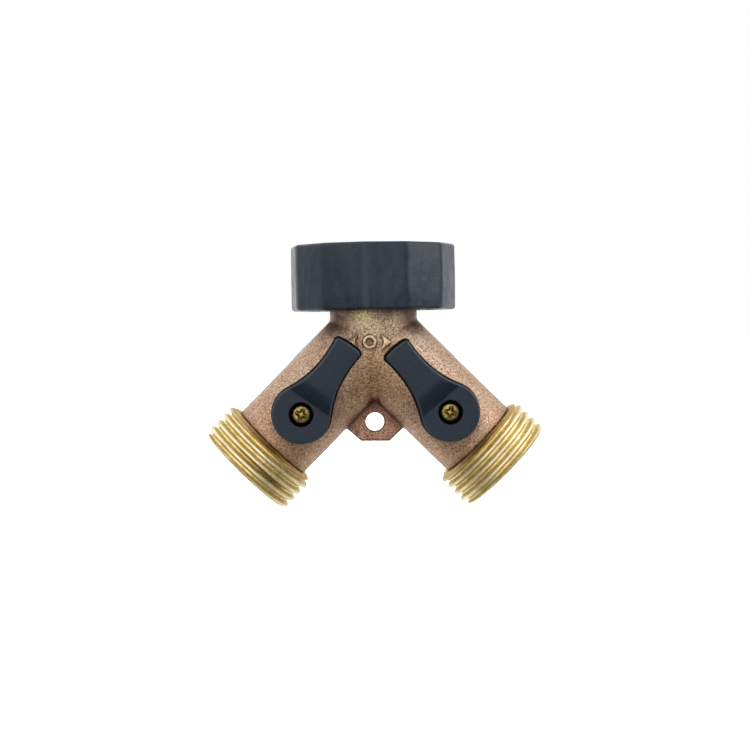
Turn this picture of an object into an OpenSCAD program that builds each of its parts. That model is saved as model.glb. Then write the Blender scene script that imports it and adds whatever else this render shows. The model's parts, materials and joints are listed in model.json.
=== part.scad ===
// Two-way hose splitter: a tap-side swivel collar on a cast body, two branches at 45 degrees,
// and a quarter-turn ball valve with a lever handle on each branch.
// Origin: centre of the inlet mouth. +Z points out of the inlet, X runs across the two outlets,
// and the levers are on the -Y side. Millimetres.

/* [Body casting] */
// Outside radius of the neck and of both branches
pipe_r = 10.9; // [10.7:0.1:11.2]
// Angle of each branch from straight down
branch_angle = 45; // [42:1:48]
// Height from the point where the axes cross up to the inlet mouth
junction_drop = 23.3; // [22.5:0.1:25]
// Length of each branch from the crossing point to the end of the casting
branch_len = 36; // [35.5:0.1:38]
// Radius of the waterway in the neck
neck_bore_r = 7; // [6:0.1:7.5]
// Radius of the waterway in each branch
branch_bore_r = 4.9; // [4.5:0.1:5.2]

/* [Web between the branches] */
// Thickness of the web
web_t = 3; // [2:0.1:4]
// Depth of the web's lower edge below the crossing point
web_drop = 25.7; // [24.5:0.1:27]
// Width of the web's lower edge
web_foot_w = 7.2; // [6:0.1:9]
// Radius of the hanging hole
hanging_r = 2.35; // [1.5:0.05:2.6]
// Depth of the hanging hole below the crossing point
hanging_drop = 20.9; // [20:0.1:21.5]

/* [Swivel collar] */
// Number of flats on the collar
collar_sides = 12; // [8:1:12]
// Radius of the collar over its corners
collar_r = 20.6; // [20:0.1:23]
// Height of the collar
collar_h = 16.3; // [16.1:0.1:18]
// Turn of the collar about its axis
collar_turn = -6.5; // [-15:0.5:15]
// Outside radius of the brass insert
insert_r = 16.5; // [15.8:0.1:17]

/* [Hose threads] */
// Thread pitch, for 11.5 threads to the inch
pitch = 2.209; // [2:0.001:2.3]
// Crest radius of the outlet threads
male_crest_r = 13.45; // [13.3:0.05:13.6]
// Root radius of the outlet threads
male_root_r = 12.05; // [11.8:0.05:12.3]
// Crest radius of the inlet thread
female_crest_r = 12.3; // [12.2:0.05:12.4]
// Root radius of the inlet thread
female_root_r = 13.6; // [13.5:0.05:13.7]
// Length of each outlet outside the casting
outlet_len = 10.1; // [9.8:0.1:12]
// Number of ridges on each outlet
outlet_turns = 4; // [3:1:4]

/* [Ball valves] */
// Distance from the crossing point to each valve stem
valve_s = 25.4; // [25:0.1:25.8]
// Radius of the ball
ball_r = 7.6; // [7.2:0.1:7.8]
// Radius of the valve chamber
chamber_r = 8.4; // [8.2:0.1:8.6]
// Running clearance round the ball, the stems and the neck
running = 0.05; // [0.02:0.01:0.09]
// Radius of the boss under each lever
boss_r = 6.3; // [6.1:0.1:6.6]
// Height of the boss above the branch axis
boss_h = 13; // [12.6:0.1:13]
// Radius of the stem
stem_r = 2.9; // [2.7:0.1:3]
// Full travel of each lever
lever_travel = 90; // [80:1:95]

/* [Levers] */
// Radius of the round end
disc_r = 7.1; // [6.8:0.1:7.5]
// Reach of the blade from the stem axis
lever_reach = 20.6; // [19:0.1:20.8]
// Half width of the blade at its waist
waist_w = 3.3; // [3:0.05:3.6]
// Half width of the blade at its tip
tip_w = 3.65; // [3.2:0.05:3.8]
// Height of the disc's face above the branch axis
disc_h = 18.3; // [18:0.1:19]
// Height of the blade's face above the branch axis
blade_h = 20.6; // [20:0.1:22]
// Turn of the left lever from fully open
left_turn = 9.5; // [0:0.5:90]
// Turn of the right lever from fully open
right_turn = 5; // [0:0.5:90]

/* [Raised mark] */
// Sideways place of the mark's centre
mark_x = -1.2; // [-3:0.1:3]
// Height of the mark's centre below the crossing point
mark_drop = 0.8; // [0:0.1:3]
// Height of the mark's face above the branch axes
mark_h = 11.5; // [11.2:0.1:12]

/* [Hidden] */
$fn = 96;
eps = 0.01;
LEFT = -1;
RIGHT = 1;

// Swivel stack, from the mouth down
insert_top = -0.5;
lip_bottom = 0.9 - collar_h;
lip_top = lip_bottom + 1.5;
ring_z = lip_top + 0.1;
ring_t = 0.9;
neck_top = ring_z + ring_t + 0.9;
washer_z = neck_top + 0.1;
washer_t = 2.6;
thread_bottom = washer_z + washer_t;
ring_groove_r = pipe_r - 1.1;
ring_r = 12.2;
washer_bore_r = 8;
lip_r = pipe_r + running;

// Valve stack along each branch, measured from the crossing point
chamber_s = valve_s - ball_r;
seat_gap = 4;
spigot_r = 9;
spigot_s = valve_s + ball_r;
outlet_end = branch_len + outlet_len;
nipple_bore_r = 7.2;
mouth_r = 8.8;

// Stem stack, measured outward from the branch axis
tang_h = 5.7;
flange_h = 7.9;
flange_r = 4;
shoulder_h = 9.5;
o_ring_h = 11.2;
groove_r = 1.95;
o_ring_r = (stem_r - groove_r) / 2;
stem_top = 13.6;
drive_top = 15.5;
drive_w = 3.3;
drive_r = 2.15;
screw_r = 1.25;
screw_bottom = 9.8;
tang_w = 2.2;
tang_len = 6.4;

// Lever and its stop
lever_bottom = boss_h + 0.2;
pocket_r = 2.95;
pocket_h = 15.7;
screw_head_r = 2.35;
screw_head_h = 17.4;
stop_inner_r = 4;
stop_outer_r = 6;
stop_arc = 40;
stop_h = 14.2;
blade_start = 3.6;
blade_full = 8.6;

// ---- placing ----

// Local +Z runs outward along a branch from the crossing point; -Y stays the lever side.
module on_branch(side) {
  translate([0, 0, -junction_drop]) rotate([0, side * (180 - branch_angle), 0]) children();
}

// Local +Z is the stem axis, pointing out of the front, and +Y points at the outlet.
module at_valve(side) {
  on_branch(side) translate([0, 0, valve_s]) rotate([90, 0, 0]) children();
}

// As at_valve, turned with the lever: local +X runs along the blade, from the stem to the tip.
module with_lever(side) {
  at_valve(side) rotate([0, 0, -90 - side * (side == LEFT ? left_turn : right_turn)])
    mirror([0, side == LEFT ? 0 : 1, 0]) children();
}

// ---- shared shapes ----

// A straight tube from z0 to z1
module tube(outer, inner, z0, z1) {
  translate([0, 0, z0]) difference() {
    cylinder(r = outer, h = z1 - z0);
    translate([0, 0, -eps]) cylinder(r = inner, h = z1 - z0 + 2 * eps);
  }
}

// A plain cylinder from z0 to z1
module rod(r, z0, z1) {
  translate([0, 0, z0]) cylinder(r = r, h = z1 - z0);
}

// A wedge of a tube, from angle a0 to a1
module arc_block(inner, outer, a0, a1, z0, z1) {
  reach = outer * 2;
  intersection() {
    tube(outer, inner, z0, z1);
    translate([0, 0, z0 - eps]) linear_extrude(z1 - z0 + 2 * eps)
      polygon(concat([[0, 0]], [for (i = [0:3]) let(a = a0 + (a1 - a0) * i / 3)
        reach * [cos(a), sin(a)]]));
  }
}

// A square bar with its corners rounded off
module drive_square(w, r, z0, z1) {
  intersection() {
    translate([-w / 2, -w / 2, z0]) cube([w, w, z1 - z0]);
    rod(r, z0 - 1, z1 + 1);
  }
}

// One thread ridge as a ring round Z at z = 0, from the root radius to the crest radius
module ridge(root, crest) {
  foot = pitch * 0.44;
  top = pitch * 0.14;
  rotate_extrude() polygon([
    [root - eps, -foot], [crest, -top], [crest, top], [root - eps, foot],
    [root - 0.4, foot], [root - 0.4, -foot]
  ]);
}

// ---- body ----

// Plate in the crotch, with a straight lower edge and slanting sides
module web() {
  shoulder = web_foot_w / 2 + 3.2;
  translate([0, web_t / 2, -junction_drop]) rotate([90, 0, 0]) linear_extrude(web_t) polygon([
    [-web_foot_w / 2, -web_drop], [web_foot_w / 2, -web_drop],
    [shoulder, 2.9 - web_drop], [shoulder, -pipe_r], [-shoulder, -pipe_r], [-shoulder, 2.9 - web_drop]
  ]);
}

// Ring between two arrowheads, one pointing at each outlet
module raised_mark() {
  back = 8;
  translate([mark_x, 0, -junction_drop - mark_drop]) rotate([90, 0, 0]) {
    tube(1.8, 0.9, back, mark_h);
    for (side = [LEFT, RIGHT])
      translate([side * 3, 0, back]) linear_extrude(mark_h - back)
        polygon([[0, -1.7], [side * 2.4, 0], [0, 1.7]]);
  }
}

// Boss and stop lug, in the valve's own frame
module valve_boss() {
  rod(boss_r, 0, boss_h);
  arc_block(stop_inner_r, stop_outer_r, 90 - stop_arc / 2, 90 + stop_arc / 2, boss_h - 1, stop_h);
}

// Everything that the stem passes through, in the valve's own frame
module stem_passage() {
  rod(stem_r + running, shoulder_h - eps, boss_h + 3);
  rod(flange_r + running, 0, shoulder_h);
}

module body_solid() {
  rod(pipe_r, -junction_drop, neck_top);
  translate([0, 0, -junction_drop]) sphere(r = pipe_r);
  web();
  raised_mark();
  for (side = [LEFT, RIGHT]) {
    on_branch(side) rod(pipe_r, 0, branch_len);
    at_valve(side) valve_boss();
  }
}

module body_casting() {
  color("#8a6a4c") difference() {
    body_solid();
    rod(neck_bore_r, -junction_drop, neck_top + 1);
    tube(pipe_r + 2, ring_groove_r, ring_z, ring_z + ring_t);
    translate([0, web_t, -junction_drop - hanging_drop]) rotate([90, 0, 0])
      cylinder(r = hanging_r, h = 2 * web_t);
    for (side = [LEFT, RIGHT]) {
      on_branch(side) {
        rod(branch_bore_r, 0, branch_len);
        rod(chamber_r, chamber_s, branch_len);
        rod(spigot_r, spigot_s, branch_len + 1);
      }
      at_valve(side) stem_passage();
    }
  }
}

// ---- swivel ----

module swivel_collar() {
  edge = 1.2;
  over = edge + 0.5;
  color("#333a44") difference() {
    intersection() {
      rotate([0, 0, collar_turn]) translate([0, 0, -collar_h])
        cylinder(r = collar_r, h = collar_h, $fn = collar_sides);
      rotate_extrude() polygon([
        [0, -collar_h], [collar_r - edge, -collar_h], [collar_r - edge + over, over - collar_h],
        [collar_r - edge + over, -over], [collar_r - edge, 0], [0, 0]
      ]);
    }
    rod(insert_r, lip_bottom, 1);
    rod(pipe_r + 0.6, -collar_h - 1, lip_bottom + 1);
  }
}

module swivel_insert() {
  turns = floor((insert_top - thread_bottom) / pitch);
  color("#b89b5e") difference() {
    rod(insert_r, lip_bottom, insert_top);
    rod(lip_r, lip_bottom - 1, lip_top + 1);
    rod(female_root_r, lip_top, thread_bottom);
    rod(female_crest_r, thread_bottom - 1, 1);
    for (i = [0:turns - 1]) translate([0, 0, thread_bottom + pitch * (i + 0.5)])
      ridge(female_crest_r, female_root_r);
  }
}

module hose_washer() {
  color("#23262a") tube(female_root_r, washer_bore_r, washer_z, washer_z + washer_t);
}

// Open ring that holds the collar on the neck
module swivel_snap_ring() {
  color("#b9bcc0") difference() {
    tube(ring_r, ring_groove_r, ring_z, ring_z + ring_t);
    translate([-1.5, 0, ring_z - 1]) cube([3, ring_r + 1, ring_t + 2]);
  }
}

// ---- outlets and valves ----

module outlet_nipple(side) {
  first = branch_len + pitch * 0.7;
  lead = 0.9;
  color("#bda268") on_branch(side) difference() {
    union() {
      rod(spigot_r, spigot_s, branch_len + 1);
      rod(male_root_r, branch_len, outlet_end - lead);
      translate([0, 0, outlet_end - lead])
        cylinder(r1 = male_root_r, r2 = male_root_r - lead / 2, h = lead);
      for (i = [0:outlet_turns - 1]) translate([0, 0, first + pitch * i])
        ridge(male_root_r, male_crest_r);
    }
    rod(nipple_bore_r, spigot_s - 1, outlet_end);
    rod(mouth_r, branch_len + 0.4, outlet_end + 1);
  }
}

// Half of the seat pair: direction -1 is upstream of the ball, +1 downstream
module valve_seat(side, direction) {
  color("#e8e6df") on_branch(side) translate([0, 0, valve_s]) difference() {
    rod(chamber_r, direction < 0 ? -ball_r : seat_gap, direction < 0 ? -seat_gap : ball_r);
    rod(branch_bore_r, -ball_r - 1, ball_r + 1);
    sphere(r = ball_r + running);
  }
}

module valve_ball(side) {
  color("#c9ccd0") with_lever(side) difference() {
    sphere(r = ball_r);
    rotate([0, 90, 0]) translate([0, 0, -ball_r - 1]) cylinder(r = branch_bore_r - 0.3, h = 2 * ball_r + 2);
    translate([-tang_w / 2 - running, -ball_r - 1, tang_h])
      cube([tang_w + 2 * running, 2 * ball_r + 2, ball_r]);
  }
}

module valve_stem(side) {
  groove_t = 2.4 * o_ring_r;
  color("#c2a566") with_lever(side) difference() {
    union() {
      intersection() {
        translate([-tang_w / 2, -tang_len / 2, tang_h]) cube([tang_w, tang_len, flange_h - tang_h + 0.5]);
        rod(flange_r, tang_h, flange_h + 1);
      }
      rod(flange_r, flange_h, shoulder_h);
      rod(stem_r, shoulder_h - 0.5, stem_top);
      drive_square(drive_w, drive_r, stem_top - 0.5, drive_top);
    }
    tube(stem_r + 1, groove_r, o_ring_h - groove_t / 2, o_ring_h + groove_t / 2);
    rod(screw_r, screw_bottom, drive_top + 1);
  }
}

module stem_o_ring(side) {
  color("#1d1f22") with_lever(side) translate([0, 0, o_ring_h]) rotate_extrude()
    translate([groove_r + o_ring_r, 0]) circle(r = o_ring_r);
}

// ---- lever ----

// Half width of the lever at distance u along the blade: leaves the disc on a tangent,
// narrows to the waist, then flares slightly
function lever_half(u) =
  let(root_u = 3.3, waist_u = 15.5, run = waist_u - root_u, t = (u - root_u) / run,
      root_w = sqrt(disc_r * disc_r - root_u * root_u))
  u < waist_u
    ? (1 + 2 * t) * pow(1 - t, 2) * root_w - t * pow(1 - t, 2) * run * root_u / root_w
      + t * t * (3 - 2 * t) * waist_w
    : waist_w + (tip_w - waist_w) * pow((u - waist_u) / (lever_reach - waist_u), 2);

// Blade seen from the front
module blade_plan() {
  steps = 12;
  corner = 1;
  first = 3.4;
  edge = [for (i = [0:steps]) let(u = first + (lever_reach - corner - first) * i / steps) [u, lever_half(u)]];
  arc = [for (a = [75:-25:0]) [lever_reach - corner + corner * cos(a), tip_w - corner + corner * sin(a)]];
  upper = concat(edge, arc);
  polygon(concat(upper, [for (i = [len(upper) - 1:-1:0]) [upper[i][0], -upper[i][1]]]));
}

// Blade seen from the side: level with the disc, then a ramp that starts steeply and levels off
module blade_side() {
  rise = blade_h - disc_h;
  run = blade_full - blade_start;
  slope = [for (i = [1:7]) let(t = i / 8) [blade_start + run * t, disc_h + rise * (1 - pow(1 - t, 2))]];
  polygon(concat(
    [[0, lever_bottom], [0, disc_h], [blade_start, disc_h]],
    slope,
    [[blade_full, blade_h], [lever_reach - 0.8, blade_h], [lever_reach + 1, blade_h - 0.8],
     [lever_reach + 1, lever_bottom]]
  ));
}

module lever(side) {
  wall = 1.6;
  hollow_u = [disc_r + 1.6, lever_reach - wall];
  sweep_start = 180 - stop_arc / 2 - lever_travel;
  color("#30363e") with_lever(side) difference() {
    union() {
      rod(disc_r, lever_bottom, disc_h);
      intersection() {
        translate([0, 0, lever_bottom - 1]) linear_extrude(blade_h - lever_bottom + 2) blade_plan();
        rotate([90, 0, 0]) translate([0, 0, -disc_r - 1]) linear_extrude(2 * disc_r + 2) blade_side();
      }
    }
    rod(pocket_r, pocket_h, blade_h + 1);
    rod(stem_r + running, lever_bottom - 1, stem_top);
    drive_square(drive_w + 2 * running, drive_r + running, stem_top - 1, pocket_h + 1);
    arc_block(stop_inner_r - 0.1, stop_outer_r + 0.1, sweep_start, 180 + stop_arc / 2,
              lever_bottom - 1, stop_h + 0.2);
    translate([hollow_u[0], wall - waist_w, lever_bottom - 1])
      cube([hollow_u[1] - hollow_u[0], 2 * (waist_w - wall), blade_h - lever_bottom - 1]);
  }
}

module lever_screw(side) {
  slot = [2.6, 0.6, 0.9];
  color("#7d6a32") with_lever(side) difference() {
    union() {
      rod(screw_head_r, pocket_h, screw_head_h - 0.5);
      translate([0, 0, screw_head_h - 0.5])
        cylinder(r1 = screw_head_r, r2 = screw_head_r - 0.5, h = 0.5);
      rod(screw_r, screw_bottom, pocket_h + 0.5);
    }
    for (a = [0, 90]) rotate([0, 0, a + 20])
      translate([-slot[0] / 2, -slot[1] / 2, screw_head_h - slot[2]]) cube([slot[0], slot[1], 2]);
  }
}

body_casting();
swivel_collar();
swivel_insert();
hose_washer();
swivel_snap_ring();
outlet_nipple(LEFT);  // outlet_nipple_left
outlet_nipple(RIGHT);  // outlet_nipple_right
valve_seat(LEFT, -1);  // seat_upstream_left
valve_seat(RIGHT, -1);  // seat_upstream_right
valve_seat(LEFT, 1);  // seat_downstream_left
valve_seat(RIGHT, 1);  // seat_downstream_right
valve_ball(LEFT);  // valve_ball_left
valve_ball(RIGHT);  // valve_ball_right
valve_stem(LEFT);  // valve_stem_left
valve_stem(RIGHT);  // valve_stem_right
stem_o_ring(LEFT);  // stem_o_ring_left
stem_o_ring(RIGHT);  // stem_o_ring_right
lever(LEFT);  // lever_left
lever(RIGHT);  // lever_right
lever_screw(LEFT);  // lever_screw_left
lever_screw(RIGHT);  // lever_screw_right
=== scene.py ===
"""A two-way hose splitter: sand-cast brass body, dark swivel collar, threaded outlets, lever valves.

All sizes here are millimetres in the CAD model's frame, and meshes are scaled to metres when made.
The waterways, threads and levers are built on the axes that the CAD bodies and joints give.
"""
import json
import math

import bmesh
import bpy
import numpy as np
from mathutils import Matrix, Vector, noise


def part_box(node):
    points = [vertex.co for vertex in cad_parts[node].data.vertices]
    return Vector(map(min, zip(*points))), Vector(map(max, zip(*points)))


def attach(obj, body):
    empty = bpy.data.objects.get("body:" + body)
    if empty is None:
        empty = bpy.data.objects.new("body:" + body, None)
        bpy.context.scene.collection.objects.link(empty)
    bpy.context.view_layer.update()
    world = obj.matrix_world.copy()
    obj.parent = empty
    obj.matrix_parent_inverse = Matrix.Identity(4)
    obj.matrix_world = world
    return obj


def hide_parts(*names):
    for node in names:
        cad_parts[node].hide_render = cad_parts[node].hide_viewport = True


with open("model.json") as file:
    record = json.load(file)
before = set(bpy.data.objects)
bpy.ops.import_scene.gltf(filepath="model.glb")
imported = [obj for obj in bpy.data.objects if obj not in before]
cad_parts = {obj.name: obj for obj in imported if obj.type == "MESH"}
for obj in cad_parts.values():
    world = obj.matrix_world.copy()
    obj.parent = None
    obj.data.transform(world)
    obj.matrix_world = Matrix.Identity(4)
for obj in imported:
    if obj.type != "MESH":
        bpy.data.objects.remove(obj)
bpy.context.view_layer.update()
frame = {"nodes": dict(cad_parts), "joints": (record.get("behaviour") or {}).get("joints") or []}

MM = 0.001
LEFT, RIGHT = -1, 1
SIDE_NAMES = {LEFT: "left", RIGHT: "right"}
BRANCH_ANGLE = math.radians(45)


# ---- sizes, from the CAD nodes and joints where they can be ----

def node_box(name):
    """A CAD node's lowest and highest corners, in millimetres."""
    low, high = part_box(name)
    return np.array(low) / MM, np.array(high) / MM


def joint_of(name):
    return next(j for j in frame["joints"] if j["name"] == name)


valve_point = np.array(joint_of("lever_right_turn")["pos_m"]) / MM
VALVE_S = valve_point[0] / math.sin(BRANCH_ANGLE)
JUNCTION_Z = valve_point[2] + VALVE_S * math.cos(BRANCH_ANGLE)

# Casting: a drop is below the crossing point, and S is a distance out along a branch from it.
PIPE_R = 10.9
BRANCH_LEN = 36.5
NECK_TOP = node_box("body_casting")[1][2]
BOSS_R, BOSS_H = 6.3, 13.0
LUG_R, LUG_HALF_WIDTH, LUG_HALF_ANGLE, LUG_RISE = 5.0, 0.95, 19.5, 1.15
DEGREE_AT_LUG = round(math.radians(LUG_R), 3)
WEB_T, WEB_DROP, WEB_FOOT = 3.0, 25.7, 3.6
HANGING_DROP, HANGING_R = 20.9, 2.35
MARK_X, MARK_Z = -1.2, -0.8

# Waterway and valve seats inside the casting.
INLET_BORE_R, BRANCH_BORE_R = 7.0, 4.9
SEAT_REACH, SEAT_HOLE_R = 7.6, 8.4
SPIGOT_S, SPIGOT_HOLE_R = VALVE_S + SEAT_REACH, 9.0
STEM_R, STEM_NECK_R, STEM_STEP_H = 4.05, 2.95, 9.5
GROOVE_R = 9.8
RING_Z = node_box("swivel_snap_ring")[0][2]
RING_T = 0.9

# Outlets and threads.
OUTLET_END, OUTLET_BORE_R, OUTLET_MOUTH_R = 46.1, 7.2, 8.8
PITCH = 2.25
MALE_ROOT_R, MALE_CREST_R = 12.35, 13.75
FEMALE_CREST_R, FEMALE_ROOT_R = 12.3, 13.6
FLANK_FOOT, FLANK_TOP = 0.46, 0.09

# Swivel collar and its insert.
COLLAR_H = -node_box("swivel_collar")[0][2]
COLLAR_SIDES, COLLAR_TURN = 12, -6.5
COLLAR_CORNER_R, COLLAR_EDGE_R, COLLAR_BORE_R = 20.7, 4.0, 11.5
INSERT_R = 16.5

# Levers: heights are along the stem from the branch's axis, and turns are in degrees from fully open.
LEVER_TURN = {side: -joint_of("lever_%s_turn" % name)["range_deg"][0]
              for side, name in SIDE_NAMES.items()}
LEVER_BOTTOM, DISC_H, BLADE_H = 13.2, 18.3, 20.6
DISC_R, LEVER_REACH = 7.1, 20.6
POCKET_R, POCKET_H = 2.95, 15.7
SIDE_DRAFT, FOOT_FLARE = 0.07, 0.36
LEVER_STEP = 0.16
TRACK_HALF_ANGLE, TRACK_HALF_WIDTH = 67.5, 1.2
SCREW_HEAD_H = 17.4
SCREW_HEAD_R, SCREW_RISE = 2.32, 0.8
SCREW_SHANK_R, SCREW_END_H = 1.25, 9.8
CROSS_TURN = {LEFT: 14, RIGHT: 38}

# Points this close are welded: in a cutter, along a seam, and after a cut.
TIGHT, SEAM, SLIVER = 0.0001, 0.0005, 0.002


# ---- frames ----

def branch_frame(side):
    """Local +Z runs out along a branch from the crossing point; -Y stays the lever side."""
    return (Matrix.Translation((0, 0, JUNCTION_Z))
            @ Matrix.Rotation(side * (math.pi - BRANCH_ANGLE), 4, "Y"))


def lever_frame(side):
    """Local +Z is the stem axis out of the front, and +X runs along the blade to its tip."""
    turn = math.radians(-90 - side * LEVER_TURN[side])
    return (branch_frame(side) @ Matrix.Translation((0, 0, VALVE_S))
            @ Matrix.Rotation(math.pi / 2, 4, "X") @ Matrix.Rotation(turn, 4, "Z"))


# ---- mesh making ----

def make_object(name, points, faces, place=Matrix.Identity(4), sharp=35):
    """A mesh object from millimetre points in its own frame, put in place in metres."""
    mesh = bpy.data.meshes.new(name)
    mesh.from_pydata([tuple(p) for p in np.asarray(points, float) * MM], [], faces)
    mesh.validate()
    mesh.update()
    return place_mesh(name, mesh, place, sharp)


def place_mesh(name, mesh, place, sharp):
    shade(mesh, sharp)
    piece = bpy.data.objects.new(name, mesh)
    bpy.context.scene.collection.objects.link(piece)
    placed = place.copy()
    placed.translation = placed.translation * MM
    piece.matrix_world = placed
    return piece


def shade(mesh, sharp):
    mesh.polygons.foreach_set("use_smooth", np.ones(len(mesh.polygons), bool))
    mesh.set_sharp_from_angle(angle=math.radians(sharp))


def band(low, high, count):
    """Faces between two rings of count points that start at two indices."""
    return [(low + j, low + (j + 1) % count, high + (j + 1) % count, high + j) for j in range(count)]


def lathe_data(profile, segments, closed=True):
    """Points and faces of a profile of (radius, z) pairs turned about Z."""
    rings = len(profile)
    angles = np.arange(segments) * 2 * math.pi / segments
    radius, height = np.array(profile, float).T
    points = np.stack([np.outer(radius, np.cos(angles)), np.outer(radius, np.sin(angles)),
                       np.repeat(height[:, None], segments, 1)], axis=2).reshape(-1, 3)
    faces = []
    for i in range(rings if closed else rings - 1):
        faces += band(i * segments, (i + 1) % rings * segments, segments)
    return points, faces


def rounded(profile, radius, steps=4):
    """A closed profile with each corner rounded, by a radius per corner."""
    points = np.array(profile, float)
    radii = radius if hasattr(radius, "__len__") else [radius] * len(points)
    out = []
    for i, corner in enumerate(points):
        before, after = points[i - 1] - corner, points[(i + 1) % len(points)] - corner
        a, b = before / np.linalg.norm(before), after / np.linalg.norm(after)
        bend = math.acos(float(np.clip(a @ b, -1, 1)))
        reach = radii[i] / math.tan(bend / 2) if bend > 0.01 else 0
        if reach < 1e-6 or abs(bend - math.pi) < 0.02:
            out.append(tuple(corner))
            continue
        start, end = corner + a * reach, corner + b * reach
        middle = (a + b) / np.linalg.norm(a + b)
        centre = corner + middle * (radii[i] / math.sin(bend / 2))
        for t in np.linspace(0, 1, steps + 1):
            chord = start + (end - start) * t - centre
            out.append(tuple(centre + chord / np.linalg.norm(chord) * radii[i]))
    return out


def merge_close(piece, distance):
    """Welds points closer than a distance in millimetres, drops what collapses, closes small holes."""
    work = bmesh.new()
    work.from_mesh(piece.data)
    bmesh.ops.remove_doubles(work, verts=work.verts, dist=distance * MM)
    bmesh.ops.dissolve_degenerate(work, edges=work.edges, dist=distance * MM * 0.1)
    bmesh.ops.holes_fill(work, edges=[edge for edge in work.edges if edge.is_boundary], sides=8)
    bmesh.ops.recalc_face_normals(work, faces=work.faces)
    work.to_mesh(piece.data)
    work.free()


def cut(piece, cutters, sharp=35):
    """Takes each cutter out of the piece, then deletes the cutters."""
    for cutter in cutters:
        step = piece.modifiers.new("cut", "BOOLEAN")
        step.object = cutter
        step.operation = "DIFFERENCE"
        step.solver = "MANIFOLD"
    bpy.context.view_layer.update()
    result = piece.evaluated_get(bpy.context.evaluated_depsgraph_get())
    done = bpy.data.meshes.new_from_object(result)
    piece.modifiers.clear()
    piece.data = done
    for cutter in cutters:
        bpy.data.objects.remove(cutter)
    merge_close(piece, SLIVER)
    shade(piece.data, sharp)


def turned_cutter(profile, place, segments=96):
    """A lathe-turned solid to cut with; its profile starts and ends on the axis."""
    points, faces = lathe_data(profile[1:-1], segments, closed=False)
    rings = len(profile) - 2
    low, high = len(points), len(points) + 1
    points = np.concatenate([points, [[0, 0, profile[0][1]], [0, 0, profile[-1][1]]]])
    top = (rings - 1) * segments
    for j in range(segments):
        k = (j + 1) % segments
        faces.append((low, k, j))
        faces.append((top + j, top + k, high))
    piece = make_object("cutter", points, faces, place)
    merge_close(piece, TIGHT)
    return piece


def plug(radius, low, high, place=Matrix.Identity(4)):
    """A plain round cutter between two heights."""
    return turned_cutter([(0, low), (radius, low), (radius, high), (0, high)], place)


# ---- shapes as distance fields ----

def smooth_join(a, b, radius):
    """Union of two distance fields with a round fillet between them."""
    u, v = np.maximum(radius - a, 0), np.maximum(radius - b, 0)
    return np.maximum(radius, np.minimum(a, b)) - np.sqrt(u * u + v * v)


def smooth_meet(a, b, radius):
    """Intersection of two distance fields with a rounded edge."""
    u, v = np.maximum(radius + a, 0), np.maximum(radius + b, 0)
    return np.minimum(-radius, np.maximum(a, b)) + np.sqrt(u * u + v * v)


def polygon_distance(x, y, corners):
    """Signed distance to a polygon, negative inside."""
    shape = np.broadcast(x, y).shape
    best, inside = np.full(shape, 1e9, np.float32), np.zeros(shape, bool)
    for (ax, ay), (bx, by) in zip(corners, corners[1:] + corners[:1]):
        ex, ey, wx, wy = bx - ax, by - ay, x - ax, y - ay
        t = np.clip((wx * ex + wy * ey) / (ex * ex + ey * ey), 0, 1)
        best = np.minimum(best, (wx - ex * t) ** 2 + (wy - ey * t) ** 2)
        crosses = (ay > y) != (by > y)
        if ey:
            inside ^= crosses & (x < ax + (y - ay) * ex / ey)
    return np.where(inside, -1, 1) * np.sqrt(best)


def surface_nets(field, low, step):
    """Points and quads of a distance field's zero surface, one point per crossed cell."""
    inside = field < 0
    cells = np.zeros(tuple(n - 1 for n in field.shape), np.uint8)
    corners = [(i, j, k) for i in (0, 1) for j in (0, 1) for k in (0, 1)]
    window = {c: tuple(slice(o, n - 1 + o) for o, n in zip(c, field.shape)) for c in corners}
    for c in corners:
        cells += inside[window[c]]
    crossed = np.argwhere((cells > 0) & (cells < 8))
    index = np.full(cells.shape, -1, np.int64)
    index[tuple(crossed.T)] = np.arange(len(crossed))
    total, count = np.zeros((len(crossed), 3)), np.zeros(len(crossed))
    values = {c: field[tuple((crossed + c).T)] for c in corners}
    for a in corners:
        for axis in range(3):
            if a[axis]:
                continue
            b = tuple(1 if d == axis else a[d] for d in range(3))
            va, vb = values[a], values[b]
            hit = (va < 0) != (vb < 0)
            t = np.where(hit, va / np.where(hit, va - vb, 1), 0)
            spot = np.repeat(np.array(a, float)[None], len(crossed), 0)
            spot[:, axis] += t
            total += spot * hit[:, None]
            count += hit
    points = low + (crossed + total / count[:, None]) * step
    quads = []
    for axis in range(3):
        u, v = (axis + 1) % 3, (axis + 2) % 3
        here = [slice(1, n - 1) for n in field.shape]
        here[axis] = slice(0, field.shape[axis] - 1)
        there = list(here)
        there[axis] = slice(1, field.shape[axis])
        starts, ends = inside[tuple(here)], inside[tuple(there)]
        base = np.argwhere(starts != ends)
        flip = ends[tuple(base.T)]
        base += [s.start for s in here]
        du, dv = np.eye(3, dtype=int)[u], np.eye(3, dtype=int)[v]
        ring = [base - du - dv, base - dv, base, base - du]
        quad = np.stack([index[tuple(r.T)] for r in ring], 1)
        quad[flip] = quad[flip][:, ::-1]
        quads.append(quad)
    return points, np.concatenate(quads)


def grid(low, high, step):
    """Coordinates of a regular grid as three open arrays, and its corner."""
    axes = [np.arange(a, b + step, step, dtype=np.float32) for a, b in zip(low, high)]
    return np.meshgrid(*axes, indexing="ij", sparse=True), np.array([a[0] for a in axes])


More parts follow.
